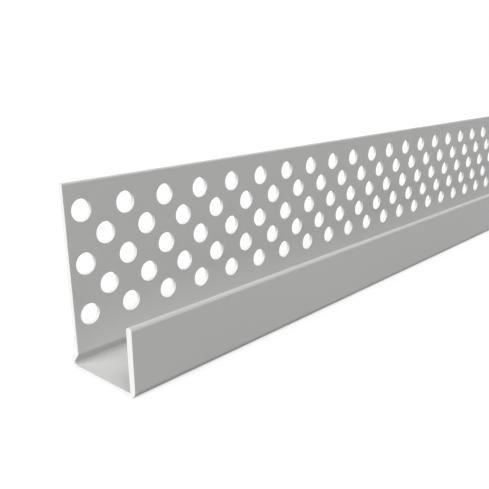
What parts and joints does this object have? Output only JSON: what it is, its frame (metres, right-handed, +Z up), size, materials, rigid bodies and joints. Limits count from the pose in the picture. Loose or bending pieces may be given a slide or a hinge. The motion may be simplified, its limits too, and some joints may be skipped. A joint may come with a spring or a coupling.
{
  "type": "plastic j-trim",
  "caption": "Length of grey plastic J-trim: a tall flange punched with staggered round holes, a flat web and a short plain lip that form a channel for the edge of a board.",
  "frame": {"origin": "middle of the underside of the web, at the centre of the bounding box in X and Y and at its bottom in Z", "axes": "+X along the length, from the cut end that the picture shows; +Y towards the wall behind the flange; +Z up the flange"},
  "size_m": [2.4384, 0.0316, 0.0593],
  "materials": {
    "grey_plastic": "satin extruded"
  },
  "bodies": {
    "root": {"j_trim": "grey_plastic"}
  },
  "joints": []
}
